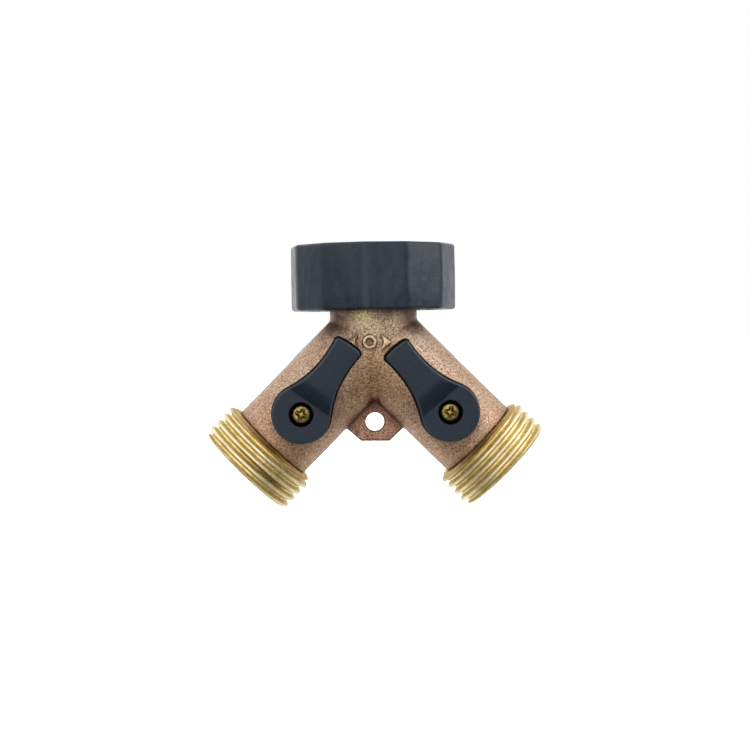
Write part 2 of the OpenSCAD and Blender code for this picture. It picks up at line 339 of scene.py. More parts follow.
def mesh_of_field(name, field, low, step, place=Matrix.Identity(4), sharp=40):
    points, quads = surface_nets(field, low, step)
    mesh = bpy.data.meshes.new(name)
    mesh.vertices.add(len(points))
    mesh.vertices.foreach_set("co", (points * MM).astype(np.float32).ravel())
    mesh.loops.add(quads.size)
    mesh.loops.foreach_set("vertex_index", quads.astype(np.int32).ravel())
    mesh.polygons.add(len(quads))
    mesh.polygons.foreach_set("loop_start", np.arange(len(quads), dtype=np.int32) * 4)
    mesh.update(calc_edges=True)
    mesh.validate()
    return place_mesh(name, mesh, place, sharp)


# ---- body casting ----

def branch_terms(side, x, y, z):
    """Distances along a branch, across it and from its axis, then the direction away from its axis."""
    across_x, across_z = side * math.cos(BRANCH_ANGLE), math.sin(BRANCH_ANGLE)
    along = side * x * math.sin(BRANCH_ANGLE) - z * math.cos(BRANCH_ANGLE)
    across = x * across_x + z * across_z
    radial = np.sqrt(across ** 2 + y ** 2) + 1e-6
    facing = (across * across_x / radial, y / radial, across * across_z / radial)
    return along, across, radial, facing


def tube_join(a, face_a, b, face_b, radius):
    """Union with a fillet that fades to nothing where the two surfaces face the same way."""
    agree = sum(p * q for p, q in zip(face_a, face_b))
    return smooth_join(a, b, radius * np.clip(1 - agree, 0, 1) + 0.02)


def mark_distance(x, z):
    """Flat distance to the raised mark: a ring between two arrowheads, one for each outlet."""
    ring_r, ring_half = 1.35, 0.42
    arrow_back, arrow_notch, arrow_tip, arrow_half, arrow_round = 2.9, 3.7, 5.4, 1.8, 0.12
    best = np.abs(np.sqrt(x ** 2 + z ** 2) - ring_r) - ring_half
    for side in (LEFT, RIGHT):
        arrow = [(side * arrow_back, -arrow_half), (side * arrow_tip, 0.0),
                 (side * arrow_back, arrow_half), (side * arrow_notch, 0.0)]
        best = np.minimum(best, polygon_distance(x, z, arrow) - arrow_round)
    return best


def body_field(x, y, z):
    """Distance field of the casting's outside, with z measured from the crossing point."""
    pipe_fillet, boss_fillet, web_fillet = 1.1, 1.4, 0.6
    neck_r = np.sqrt(x ** 2 + y ** 2) + 1e-6
    neck_side = np.where(z > 0, neck_r, np.sqrt(neck_r ** 2 + z ** 2)) - PIPE_R
    neck = np.maximum(neck_side, z - (NECK_TOP - JUNCTION_Z))
    neck_face = (x / neck_r, y / neck_r, 0 * z)
    tubes, faces = [], []
    for side in (LEFT, RIGHT):
        along, _, radial, face = branch_terms(side, x, y, z)
        end = np.where(along > 0, radial, np.sqrt(radial ** 2 + along ** 2)) - PIPE_R
        tubes.append(np.maximum(end, along - BRANCH_LEN))
        faces.append(face)
    body = np.minimum(tube_join(neck, neck_face, tubes[0], faces[0], pipe_fillet),
                      tube_join(neck, neck_face, tubes[1], faces[1], pipe_fillet))
    body = np.minimum(body, tube_join(tubes[0], faces[0], tubes[1], faces[1], pipe_fillet))
    for side in (LEFT, RIGHT):
        along, across, _, _ = branch_terms(side, x, y, z)
        from_stem = np.sqrt((along - VALVE_S) ** 2 + across ** 2)
        boss = smooth_meet(from_stem - BOSS_R, np.maximum(-y - BOSS_H, y), 0.35)
        body = smooth_join(body, boss, boss_fillet)
        lug_angle = np.degrees(np.arctan2(across, along - VALVE_S))
        lug = np.maximum(np.abs(from_stem - LUG_R) - LUG_HALF_WIDTH,
                         (np.abs(lug_angle) - LUG_HALF_ANGLE) * DEGREE_AT_LUG)
        lug = np.maximum(lug, np.maximum(-y - (BOSS_H + LUG_RISE), y))
        body = np.minimum(body, lug)
    shoulder = WEB_FOOT + 3.2
    shoulder_z = 2.9 - WEB_DROP
    outline = [(-WEB_FOOT, -WEB_DROP), (WEB_FOOT, -WEB_DROP), (shoulder, shoulder_z),
               (shoulder, -PIPE_R), (-shoulder, -PIPE_R), (-shoulder, shoulder_z)]
    plate = polygon_distance(x + 0 * z, z + 0 * x, outline)
    web = smooth_meet(plate, np.abs(y) - WEB_T / 2, 0.45)
    body = smooth_join(body, web, web_fillet)
    mark_rise = 0.7
    mark = smooth_meet(mark_distance(x - MARK_X, z - MARK_Z), body - mark_rise, 0.2)
    return smooth_join(body, np.maximum(mark, y), 0.15)


def roughen(piece, layers):
    """Moves each point along its normal by smooth noise: (size in mm, depth in mm) per layer."""
    apart = 7.3
    mesh = piece.data
    count = len(mesh.vertices)
    points, normals = np.empty(count * 3, np.float32), np.empty(count * 3, np.float32)
    mesh.vertices.foreach_get("co", points)
    mesh.vertices.foreach_get("normal", normals)
    points, normals = points.reshape(-1, 3), normals.reshape(-1, 3)
    shift = np.zeros(count)
    for size, depth in layers:
        scaled = points / (MM * size) + size * apart
        shift += depth * MM * np.array([noise.noise(Vector(p)) for p in scaled])
    mesh.vertices.foreach_set("co", (points + normals * shift[:, None]).astype(np.float32).ravel())
    mesh.update()


def hanging_hole_cutter():
    """A pin through the web, a little wider where it leaves each face."""
    half, wide_r = WEB_T / 2, HANGING_R + 0.35
    profile = [(0, WEB_T), (wide_r, WEB_T), (wide_r, half + 0.1), (HANGING_R, half - 0.25),
               (HANGING_R, -half + 0.25), (wide_r, -half - 0.1), (wide_r, -WEB_T), (0, -WEB_T)]
    place = (Matrix.Translation((0, 0, JUNCTION_Z - HANGING_DROP))
             @ Matrix.Rotation(math.pi / 2, 4, "X"))
    return turned_cutter(profile, place)


def branch_cutters(side):
    """The waterway with its seat chamber, a clean end face, and the stem's hole."""
    place = branch_frame(side)
    seat_start = VALVE_S - SEAT_REACH
    waterway = turned_cutter([
        (0, 0), (BRANCH_BORE_R, 0), (BRANCH_BORE_R, seat_start), (SEAT_HOLE_R, seat_start),
        (SEAT_HOLE_R, SPIGOT_S), (SPIGOT_HOLE_R, SPIGOT_S), (SPIGOT_HOLE_R, BRANCH_LEN + 3),
        (0, BRANCH_LEN + 3)], place)
    stem = place @ Matrix.Translation((0, 0, VALVE_S)) @ Matrix.Rotation(math.pi / 2, 4, "X")
    stem_hole = turned_cutter([
        (0, 0), (STEM_R, 0), (STEM_R, STEM_STEP_H), (STEM_NECK_R, STEM_STEP_H), (STEM_NECK_R, 18),
        (0, 18)], stem)
    return [waterway, plug(20, BRANCH_LEN, BRANCH_LEN + 4, place), stem_hole]


def make_body():
    step = 0.3
    low = np.array([-34.5, -15.6, -34.6])
    high = np.array([34.5, 12.3, NECK_TOP - JUNCTION_Z + 1.2])
    (x, y, z), corner = grid(low, high, step)
    corner = corner + [0, 0, JUNCTION_Z]
    piece = mesh_of_field("body_cast", body_field(x, y, z), corner, step)
    roughen(piece, [(6.0, 0.07), (1.6, 0.05), (0.7, 0.03)])
    cutters = [plug(INLET_BORE_R, JUNCTION_Z, NECK_TOP + 2), plug(20, NECK_TOP, NECK_TOP + 5),
               hanging_hole_cutter()]
    groove_top = RING_Z + RING_T
    groove = [(GROOVE_R, RING_Z), (14, RING_Z), (14, groove_top), (GROOVE_R, groove_top)]
    cutters.append(make_object("cutter", *lathe_data(groove, 96)))
    for side in (LEFT, RIGHT):
        cutters += branch_cutters(side)
    cut(piece, cutters, 40)
    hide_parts("body_casting")
    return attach(piece, "body")


# ---- threads ----

def thread_shape(f):
    """Height from root (0) to crest (1) at a fraction of the pitch from a crest's middle."""
    f = np.abs((np.asarray(f) + 0.5) % 1 - 0.5)
    t = np.clip((FLANK_FOOT - f) / (FLANK_FOOT - FLANK_TOP), 0, 1)
    return t - 0.06 * np.sin(2 * math.pi * t)


def thread_rings(z0, z1, root, crest, phase, lead, segments=192):
    """Helical thread surface from z0 to z1 in columns; returns points, faces and the two end rings.

    The crest fades out over the lead at z1, and the thread starts from a shallow groove at z0.
    """
    groove_depth, start_slope = 0.1, 1.6
    half_turn = [0.05, FLANK_TOP, 0.15, 0.24, 0.33, 0.42, FLANK_FOOT]
    stations = np.array([-0.5] + [-f for f in half_turn[::-1]] + [0.0] + half_turn)
    per_turn = len(stations)
    turns = math.ceil((z1 - z0) / PITCH) + 4
    first = phase + PITCH * math.floor((z0 - phase) / PITCH - 2)
    base = np.concatenate([first + PITCH * (k + stations) for k in range(turns)])
    angle = np.arange(segments) * 2 * math.pi / segments
    z = np.clip(base[None, :] + PITCH * angle[:, None] / (2 * math.pi), z0, z1)
    fraction = (z - phase) / PITCH - angle[:, None] / (2 * math.pi)
    radius = root + (crest - root) * thread_shape(fraction)
    outward = 1 if crest > root else -1
    end_limit = crest - outward * np.clip(z - (z1 - lead), 0, None)
    start_limit = root - outward * (groove_depth - start_slope * (z - z0))
    radius = outward * np.minimum.reduce([outward * radius, outward * end_limit, outward * start_limit])
    points = np.stack([radius * np.cos(angle)[:, None], radius * np.sin(angle)[:, None], z], 2)
    rows = len(base) - per_turn
    faces = []
    for i in range(segments):
        # The last column joins the first one a whole pitch further along.
        wrap = i == segments - 1
        here = i * len(base)
        there = per_turn if wrap else (i + 1) * len(base)
        for j in range(rows - 1):
            faces.append((here + j, there + j, there + j + 1, here + j + 1))
    start = [i * len(base) for i in range(segments)]
    end = [i * len(base) + rows - 1 for i in range(segments)]
    return points.reshape(-1, 3), faces, start, end


def threaded_piece(name, place, thread, profile):
    """A solid with a helical thread from one end ring to the other, closed by a turned profile."""
    points, faces, start, end = thread
    segments = len(start)
    inner, inner_faces = lathe_data(profile, segments, closed=False)
    offset = len(points)
    faces = faces + [tuple(v + offset for v in face) for face in inner_faces]
    last = offset + (len(profile) - 1) * segments
    for j in range(segments):
        k = (j + 1) % segments
        faces.append((end[j], end[k], offset + k, offset + j))
        faces.append((last + j, last + k, start[k], start[j]))
    piece = make_object(name, np.concatenate([points, inner]), faces, place)
    merge_close(piece, SEAM)
    shade(piece.data, 28)
    return piece


def make_nipple(side):
    crest_at = {LEFT: 0.95, RIGHT: 0.9}[side]
    thread = thread_rings(BRANCH_LEN, OUTLET_END, MALE_ROOT_R, MALE_CREST_R,
                          BRANCH_LEN + crest_at, 0.8)
    profile = [(OUTLET_MOUTH_R + 0.5, OUTLET_END), (OUTLET_MOUTH_R, OUTLET_END - 0.5),
               (OUTLET_MOUTH_R, BRANCH_LEN + 0.4), (OUTLET_BORE_R + 0.4, BRANCH_LEN + 0.4),
               (OUTLET_BORE_R, BRANCH_LEN), (OUTLET_BORE_R, SPIGOT_S),
               (SPIGOT_HOLE_R - 0.3, SPIGOT_S), (SPIGOT_HOLE_R, SPIGOT_S + 0.3),
               (SPIGOT_HOLE_R, BRANCH_LEN)]
    name = "outlet_" + SIDE_NAMES[side]
    piece = threaded_piece(name, branch_frame(side), thread, profile)
    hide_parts("outlet_nipple_" + SIDE_NAMES[side])
    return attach(piece, "body")


def make_insert():
    low, high = node_box("swivel_insert")
    bottom, top = low[2], high[2]
    thread_bottom = node_box("hose_washer")[1][2]
    thread = thread_rings(thread_bottom, top, FEMALE_ROOT_R, FEMALE_CREST_R, thread_bottom + 1, 1.1)
    bevel, neck_gap, floor_t = 0.3, 0.05, 1.5
    profile = [(INSERT_R - bevel, top), (INSERT_R, top - bevel), (INSERT_R, bottom),
               (PIPE_R + neck_gap + bevel, bottom), (PIPE_R + neck_gap, bottom + bevel),
               (PIPE_R + neck_gap, bottom + floor_t), (FEMALE_ROOT_R, bottom + floor_t)]
    piece = threaded_piece("collar_insert", Matrix.Identity(4), thread, profile)
    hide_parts("swivel_insert")
    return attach(piece, "swivel")


# ---- collar and washer ----

def unit(angle):
    return np.array([math.cos(angle), math.sin(angle)])


def collar_ring(inset):
    """Points round the collar's polygon with its rounded corners, moved in by inset."""
    half_side = math.pi / COLLAR_SIDES
    corner_centre_r = COLLAR_CORNER_R - COLLAR_EDGE_R / math.cos(half_side)
    edge_r = COLLAR_EDGE_R - inset
    ring = []
    for k in range(COLLAR_SIDES):
        here = math.radians(COLLAR_TURN) + k * 2 * half_side
        after = here + 2 * half_side
        for t in np.linspace(-1, 1, 7):
            ring.append(corner_centre_r * unit(here) + edge_r * unit(here + t * half_side))
        start = corner_centre_r * unit(here) + edge_r * unit(here + half_side)
        end = corner_centre_r * unit(after) + edge_r * unit(after - half_side)
        ring += [start + (end - start) * t for t in (0.2, 0.4, 0.6, 0.8)]
    return np.array(ring)


def make_collar():
    fillet, fillet_steps, crown, lip = 0.8, 5, 0.06, 0.45
    seat = node_box("swivel_insert")[0][2]
    outline = collar_ring(0)
    angle = np.arctan2(outline[:, 1], outline[:, 0])
    rings = []

    def add_round(radius, z):
        rings.append(np.stack([radius * np.cos(angle), radius * np.sin(angle), 0 * angle + z], 1))

    def add_outline(inset, z):
        ring = collar_ring(inset)
        rings.append(np.column_stack([ring, np.full(len(ring), z)]))

    for radius, up in [(COLLAR_BORE_R, seat + COLLAR_H), (COLLAR_BORE_R, 0.3), (COLLAR_BORE_R + 0.3, 0),
                       (13.4, 0), (13.6, lip), (16.6, lip), (16.8, 0)]:
        add_round(radius, up - COLLAR_H)
    for a in np.linspace(0, math.pi / 2, fillet_steps + 1):
        add_outline(fillet * (1 - math.sin(a)), -COLLAR_H + fillet * (1 - math.cos(a)))
    for t in (0.25, 0.5, 0.75):
        add_outline(-crown * math.sin(math.pi * t), -COLLAR_H + fillet + (COLLAR_H - 2 * fillet) * t)
    for a in np.linspace(0, math.pi / 2, fillet_steps + 1):
        add_outline(fillet * (1 - math.cos(a)), -fillet * (1 - math.sin(a)))
    add_round(INSERT_R + 0.4, 0)
    add_round(INSERT_R, -0.4)
    add_round(INSERT_R, seat)
    count = len(angle)
    faces = []
    for i in range(len(rings)):
        faces += band(i * count, (i + 1) % len(rings) * count, count)
    piece = make_object("collar_shell", np.concatenate(rings), faces, sharp=50)
    merge_close(piece, SEAM)
    shade(piece.data, 50)
    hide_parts("swivel_collar")
    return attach(piece, "swivel")


def make_washer():
    low, high = node_box("hose_washer")
    bottom, top, outer = low[2], high[2], high[0]
    inner, groove_depth = 8.0, 0.35
    corners = [(inner, bottom), (outer, bottom), (outer, top), (11.6, top), (11.2, top - groove_depth),
               (10.2, top - groove_depth), (9.8, top), (inner, top)]
    profile = rounded(corners, [0.5, 0.4, 0.4, 0.12, 0.12, 0.12, 0.12, 0.5])
    piece = make_object("hose_seal", *lathe_data(profile, 96), sharp=60)
    merge_close(piece, SEAM)
    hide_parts("hose_washer")
    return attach(piece, "swivel")


# ---- levers and screws ----

def lever_outline():
    """Blade outline in the lever's frame: leaves the disc on a tangent, narrows, flares, ends round."""
    root_u, waist_u = 3.3, 15.5
    waist_w, tip_w, corner, end_bulge = 3.3, 3.7, 1.3, 0.15
    root_w, run = math.sqrt(DISC_R ** 2 - root_u ** 2), waist_u - root_u

    def half(u):
        if u < waist_u:
            t = (u - root_u) / run
            start, lean = (1 + 2 * t) * (1 - t) ** 2, t * (1 - t) ** 2
            end = t * t * (3 - 2 * t)
            return start * root_w - lean * run * root_u / root_w + end * waist_w
        return waist_w + (tip_w - waist_w) * ((u - waist_u) / (LEVER_REACH - waist_u)) ** 2

    upper = [(u, half(u)) for u in np.linspace(root_u, LEVER_REACH - corner, 24)]
    upper += [(LEVER_REACH - corner + corner * math.cos(a), tip_w - corner + corner * math.sin(a))
              for a in np.radians([70, 50, 30, 10])]
    upper.append((LEVER_REACH + end_bulge, 0))
    lower = [(u, -w) for u, w in upper[-2::-1]]
    return [(float(u), float(w)) for u, w in upper + lower]


def lever_top(u, v):
    """Height of the lever's face: the flat disc, then a ramp that starts steeply and levels off."""
    start, full, crown, tip_droop = 3.6, 8.6, 0.012, 0.25
    t = np.clip((u - start) / (full - start), 0, 1)
    ramp = (BLADE_H - DISC_H) * (1 - (1 - t) ** 2) - crown * v ** 2 * t
    droop = tip_droop * np.clip((u - 15) / 5, 0, 1) ** 2
    return DISC_H + np.maximum(ramp - droop, 0)


def lever_plan(u, v):
    """Flat distance to the lever's outline: the disc and the blade together."""
    return np.minimum(np.sqrt(u ** 2 + v ** 2) - DISC_R, polygon_distance(u, v, lever_outline()))


def lever_spaces(u, v, h, side):
    """The hollows under a lever: the stem's hole and square, the lug's track and the blade's core."""
    shank_r, square_from_h, square_half, square_round_r = 2.95, 13.6, 1.7, 2.2
    track_top, core_top, core_middle, core_half_u, core_half_v = 14.4, 18.6, 13.6, 5, 1.95
    from_axis = np.sqrt(u ** 2 + v ** 2)
    shank = np.maximum(from_axis - shank_r, h - square_from_h)
    square = np.maximum(np.maximum(np.abs(u), np.abs(v)) - square_half, from_axis - square_round_r)
    angle = np.degrees(np.arctan2(v * -side, u)) % 360
    sweep = np.abs(angle - 135) - TRACK_HALF_ANGLE
    width = np.abs(from_axis - LUG_R) - TRACK_HALF_WIDTH
    track = np.maximum(np.maximum(width, sweep * DEGREE_AT_LUG), h - track_top)
    core = np.maximum(np.maximum(np.abs(v) - core_half_v, np.abs(u - core_middle) - core_half_u),
                      h - core_top)
    return shank, square, track, core


def lever_field(u, v, h, side):
    plan_u, plan_v = u + 0 * v, v + 0 * u
    face = lever_top(plan_u, plan_v)
    plan = lever_plan(plan_u, plan_v) + SIDE_DRAFT * (h - LEVER_BOTTOM) - FOOT_FLARE
    slope_u, slope_v = np.gradient(face[:, :, 0], LEVER_STEP)
    steep = np.sqrt(1 + slope_u ** 2 + slope_v ** 2)[:, :, None]
    solid = smooth_meet(plan, (h - face) / steep, 0.6)
    solid = smooth_meet(solid, LEVER_BOTTOM - h, 0.25)
    pocket = np.maximum(np.sqrt(u ** 2 + v ** 2) - POCKET_R, POCKET_H - h)
    solid = smooth_meet(solid, -pocket, 0.12)
    for space in lever_spaces(u, v, h, side):
        solid = np.maximum(solid, -space)
    return solid


def mark_edges(piece):
    """Stores how near each point is to the face's outer edge, and how far down the side walls: masks for
    a painted highlight along the edge and painted shade on the walls.
    """
    u, v, h = np.array([vertex.co for vertex in piece.data.vertices]).T / MM
    top = lever_top(u, v)
    inside = FOOT_FLARE - lever_plan(u, v) - SIDE_DRAFT * (h - LEVER_BOTTOM)
    rim_highlight = np.clip(1 - inside / 0.5, 0, 1) * np.clip(1 - (top - h) / 0.3, 0, 1)
    wall = np.clip(1 - inside / 0.4, 0, 1) * np.clip((top - h - 0.35) / 0.3, 0, 1)
    for name, values in (("rim_highlight", rim_highlight), ("wall", wall)):
        layer = piece.data.attributes.new(name, "FLOAT", "POINT")
        layer.data.foreach_set("value", values.astype(np.float32))


def make_lever(side):
    disc_edge = DISC_R + 1
    (u, v, h), corner = grid([-disc_edge, -disc_edge, LEVER_BOTTOM - 0.4],
                             [LEVER_REACH + 1.1, disc_edge, BLADE_H + 0.5], LEVER_STEP)
    field = lever_field(u, v, h, side).astype(np.float32)
    name = "handle_" + SIDE_NAMES[side]
    piece = mesh_of_field(name, field, corner, LEVER_STEP, lever_frame(side), sharp=50)
    mark_edges(piece)
    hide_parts("lever_" + SIDE_NAMES[side])
    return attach(piece, "valve_" + SIDE_NAMES[side])


def cross_cutter(place, turn):
    """A tapered four-armed plug, as left by a cross-head driver."""
    arm, half, depth, web = 1.7, 0.48, 1.25, 0.22
    outline = []
    for k in range(4):
        a = math.radians(turn) + k * math.pi / 2
        along, across = unit(a), unit(a + math.pi / 2)
        outline += [along * arm - across * half, along * arm + across * half,
                    along * (half + web) + across * (half + web)]
    outline = np.array(outline)
    count = len(outline)
    rings = [(outline * 1.08, SCREW_HEAD_H + 0.6), (outline, SCREW_HEAD_H),
             (outline * 0.3, SCREW_HEAD_H - depth)]
    points = np.concatenate([np.column_stack([ring, np.full(count, z)]) for ring, z in rings])
    faces = [tuple(range(count)), tuple(range(3 * count - 1, 2 * count - 1, -1))]
    for level in (0, count):
        faces += [(level + j, level + count + j, level + count + (j + 1) % count,
                   level + (j + 1) % count) for j in range(count)]
    piece = make_object("cutter", points, faces, place)
    merge_close(piece, TIGHT)
    return piece


def make_screw(side):
    edge = SCREW_HEAD_H - SCREW_RISE
    dome = [(SCREW_HEAD_R * math.sin(a), edge + SCREW_RISE * math.cos(a) ** 0.7)
            for a in np.radians([89.9, 82, 74, 66, 56, 44, 30, 15, 4])]
    profile = [(0, SCREW_END_H), (SCREW_SHANK_R, SCREW_END_H), (SCREW_SHANK_R, POCKET_H),
               (SCREW_HEAD_R - 0.1, POCKET_H), (SCREW_HEAD_R, POCKET_H + 0.1)]
    profile += dome + [(0, SCREW_HEAD_H)]
    name = "screw_" + SIDE_NAMES[side]
    place = lever_frame(side)
    piece = turned_cutter(profile, place, 64)
    piece.name = name
    cut(piece, [cross_cutter(place, CROSS_TURN[side])], 30)
    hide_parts("lever_screw_" + SIDE_NAMES[side])
    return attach(piece, "valve_" + SIDE_NAMES[side])


# ---- materials ----

class Nodes:
    """A node tree, with each node added and linked in one call."""

    def __init__(self, tree):
        self.tree = tree

    def add(self, kind, inputs=None, **settings):
        node = self.tree.nodes.new(kind)
        for key, value in settings.items():
            setattr(node, key, value)
        for key, value in (inputs or {}).items():
            self.feed(node.inputs[key], value)
        return node

    def feed(self, socket, value):
        """Links a socket to another node's output, or sets its value."""
        if isinstance(value, bpy.types.NodeSocket):
            self.tree.links.new(value, socket)
        else:
            socket.default_value = value


class Graph(Nodes):
    """A material's nodes. Coordinates are the object's own, in millimetres."""

    def __init__(self, name):
        self.material = bpy.data.materials.new(name)
        self.material.use_nodes = True
        super().__init__(self.material.node_tree)
        self.tree.nodes.clear()
        self.output = self.tree.nodes.new("ShaderNodeOutputMaterial")
        coords = self.tree.nodes.new("ShaderNodeTexCoord")
        to_mm = (1 / MM, 1 / MM, 1 / MM)
        self.position = self.add("ShaderNodeVectorMath", {0: coords.outputs["Object"], 1: to_mm},
                                 operation="MULTIPLY").outputs[0]

    def stretch(self, scale):
        """The coordinates scaled per axis, so that features there are 1 / scale as long."""
        return self.add("ShaderNodeMapping", {"Vector": self.position, "Scale": scale}).outputs[0]

    def noise(self, size, detail=3.0, rough=0.55, where=None):
        """Smooth noise from 0 to 1 with features of a given size in millimetres."""
        node = self.add("ShaderNodeTexNoise", {
            "Vector": where or self.position, "Scale": 1 / size, "Detail": detail, "Roughness": rough})
        return node.outputs["Fac"]

    def cells(self, size):
        """Distance to the nearest of scattered points, for pits and grains."""
        node = self.add("ShaderNodeTexVoronoi", {"Vector": self.position, "Scale": 1 / size})
        return node.outputs["Distance"]

    def remap(self, value, low, high, out_low=0.0, out_high=1.0):
        node = self.add("ShaderNodeMapRange", {
            "Value": value, "From Min": low, "From Max": high, "To Min": out_low, "To Max": out_high})
        return node.outputs[0]

    def math(self, operation, a, b=0.0):
        return self.add("ShaderNodeMath", {0: a, 1: b}, operation=operation).outputs[0]

    def times(self, a, b):
        return self.math("MULTIPLY", a, b)

    def plus(self, a, b):
        return self.math("ADD", a, b)

    def minus(self, a, b):
        return self.math("SUBTRACT", a, b)

    def larger(self, a, b):
        return self.math("MAXIMUM", a, b)

    def mix(self, amount, a, b, blend="MIX"):
        """Colour a turning into b; each is a node's output or a plain red, green and blue."""
        a, b = (c if isinstance(c, bpy.types.NodeSocket) else (*c, 1.0) for c in (a, b))
        inputs = {"Factor": amount, 6: a, 7: b}
        return self.add("ShaderNodeMix", inputs, data_type="RGBA", blend_type=blend).outputs[2]

    def near(self, point, radius, soft, size=(1, 1, 1)):
        """1 inside a ball, or a ball stretched to a size, round a point in millimetres, falling to 0."""
        centre = tuple(p / q for p, q in zip(point, size))
        stretched = size != (1, 1, 1)
        where = self.stretch(tuple(1 / q for q in size)) if stretched else self.position
        away = self.add("ShaderNodeVectorMath", {0: where, 1: centre}, operation="DISTANCE")
        return self.remap(away.outputs["Value"], radius + soft, radius)

    def crease(self, distance, whole_scene=False):
        """0 on open surfaces, towards 1 in hollows, of the piece alone or with its neighbours."""
        node = self.add("ShaderNodeAmbientOcclusion", {"Distance": distance * MM}, samples=8,
                        only_local=not whole_scene)
        return self.minus(1.0, node.outputs["AO"])

    def bump(self, height, depth, under=None):
        inputs = {"Height": height, "Distance": depth * MM, "Strength": 1.0}
        if under is not None:
            inputs["Normal"] = under
        return self.add("ShaderNodeBump", inputs).outputs[0]

    def finish(self, **inputs):
        """Ends the material with a Principled shader; input names have _ for each space."""
        named = {key.replace("_", " "): value for key, value in inputs.items()}
        shader = self.add("ShaderNodeBsdfPrincipled", named)
        self.tree.links.new(shader.outputs[0], self.output.inputs["Surface"])
        return self.material


def cast_brass():
    """Sand-cast skin: light and dark grains, redder low down, rubbed spots, and painted shade: in
    creases and corners, a painted shadow under the collar, and a painted contact shadow round the
    levers.
    """
    g = Graph("cast_brass")
    grain = g.noise(0.40, 2, 0.65)
    coarse = g.noise(1.3, 3, 0.6)
    broad = g.noise(8.0, 2, 0.5)
    speck = g.remap(g.plus(g.times(grain, 0.8), g.times(coarse, 0.2)), 0.38, 0.62)
    x, y, z = g.add("ShaderNodeSeparateXYZ", {0: g.position}).outputs

    def patch(skin, amount, dark, light):
        """The skin with part of it turned to grains of two other colours."""
        return g.mix(amount, skin, g.mix(speck, dark, light))

    skin = g.mix(speck, (0.27, 0.155, 0.092), (0.73, 0.56, 0.42))
    redder = g.remap(broad, 0.40, 0.65, 0.0, 0.4)
    skin = patch(skin, redder, (0.25, 0.115, 0.066), (0.63, 0.38, 0.24))
    between_levers = g.near((0, -PIPE_R, JUNCTION_Z - 9), 3.0, 11.0)
    skin = patch(skin, g.times(between_levers, 0.8), (0.36, 0.165, 0.068), (1.0, 0.68, 0.40))
    neck = g.near((0, -PIPE_R, JUNCTION_Z + 5.5), 3.0, 6.0)
    skin = patch(skin, g.times(neck, 0.8), (0.34, 0.20, 0.115), (0.98, 0.76, 0.54))
    low = g.remap(z, JUNCTION_Z - 8, JUNCTION_Z - 28)
    skin = g.mix(g.times(low, 0.9), skin, (1.0, 0.88, 0.76), "MULTIPLY")
    web = g.near((0, 0, JUNCTION_Z - 21), 5.0, 3.0)
    skin = patch(skin, g.times(web, 0.8), (0.22, 0.085, 0.05), (0.60, 0.34, 0.23))

    along = g.times(g.minus(g.math("ABSOLUTE", x), g.minus(z, JUNCTION_Z)), math.sin(BRANCH_ANGLE))
    turned_end = g.remap(along, BRANCH_LEN - 2.2, BRANCH_LEN - 0.3)
    turned_end = g.times(turned_end, g.remap(coarse, 0.35, 0.6))
    skin = g.mix(g.times(turned_end, 0.6), skin, (0.38, 0.23, 0.09))
    pits = g.remap(g.cells(0.8), 0.08, 0.2)
    skin = g.mix(g.remap(pits, 0, 1, 0.5, 0), skin, (0.09, 0.04, 0.02))

    # Painted shade: creases and corners, where the casting shades itself, turn a near-black reddish
    # brown.
    crease_shade = g.remap(g.crease(4.0), 0.07, 0.36, 0.0, 0.95)
    ragged = g.remap(g.plus(coarse, grain), 0.75, 1.1, 0.35, 1.0)
    # Painted shadow under the collar: at the neck's two shoulders and just right of the neck's front,
    # broken up by grain.
    collar_shadow_spots = [((side * 9.4, -6.0, JUNCTION_Z + 4.8), 5.2, 1.0) for side in (LEFT, RIGHT)]
    collar_shadow_spots.append(((2.6, -PIPE_R, JUNCTION_Z + 7.4), 3.2, 0.7))
    for place, size, depth in collar_shadow_spots:
        collar_shadow = g.times(g.near(place, 0.5, size), ragged)
        crease_shade = g.larger(crease_shade, g.times(collar_shadow, depth))
    # Painted contact shadow where the levers and the collar come close over the body.
    contact_shadow = g.remap(g.crease(3.2, whole_scene=True), 0.22, 0.50, 0.0, 0.8)
    # The painted shade and the painted shadows are mixed in as one dark reddish brown.
    skin = g.mix(g.larger(crease_shade, contact_shadow), skin, (0.095, 0.032, 0.018))

    rub = g.near((-3.4, -PIPE_R, JUNCTION_Z + 5.6), 0.3, 3.4)
    rub = g.times(rub, g.remap(g.noise(0.5, 3, 0.6), 0.46, 0.58))
    raised = g.remap(y, -PIPE_R - 0.1, -PIPE_R - 0.5)
    mark = g.times(g.near((MARK_X, -PIPE_R - 0.9, JUNCTION_Z + MARK_Z), 5.5, 1.0), raised)
    mark = g.times(mark, g.remap(grain, 0.38, 0.54, 0.15, 0.8))
    skin = g.mix(g.times(mark, 0.8), skin, (0.84, 0.66, 0.43))
    skin = g.mix(rub, skin, (0.98, 0.82, 0.36))
    worn = g.larger(rub, mark)

    height = g.plus(g.times(grain, 0.6), g.times(coarse, 0.5))
    normal = g.bump(pits, 0.04, g.bump(height, 0.22))
    rough = g.minus(g.remap(grain, 0.3, 0.7, 0.52, 0.38), g.times(worn, 0.1))
    metal = g.remap(worn, 0, 1, 0.62, 0.95)
    return g.finish(Base_Color=skin, Metallic=metal, Roughness=rough, Normal=normal,
                    Specular_IOR_Level=0.4)


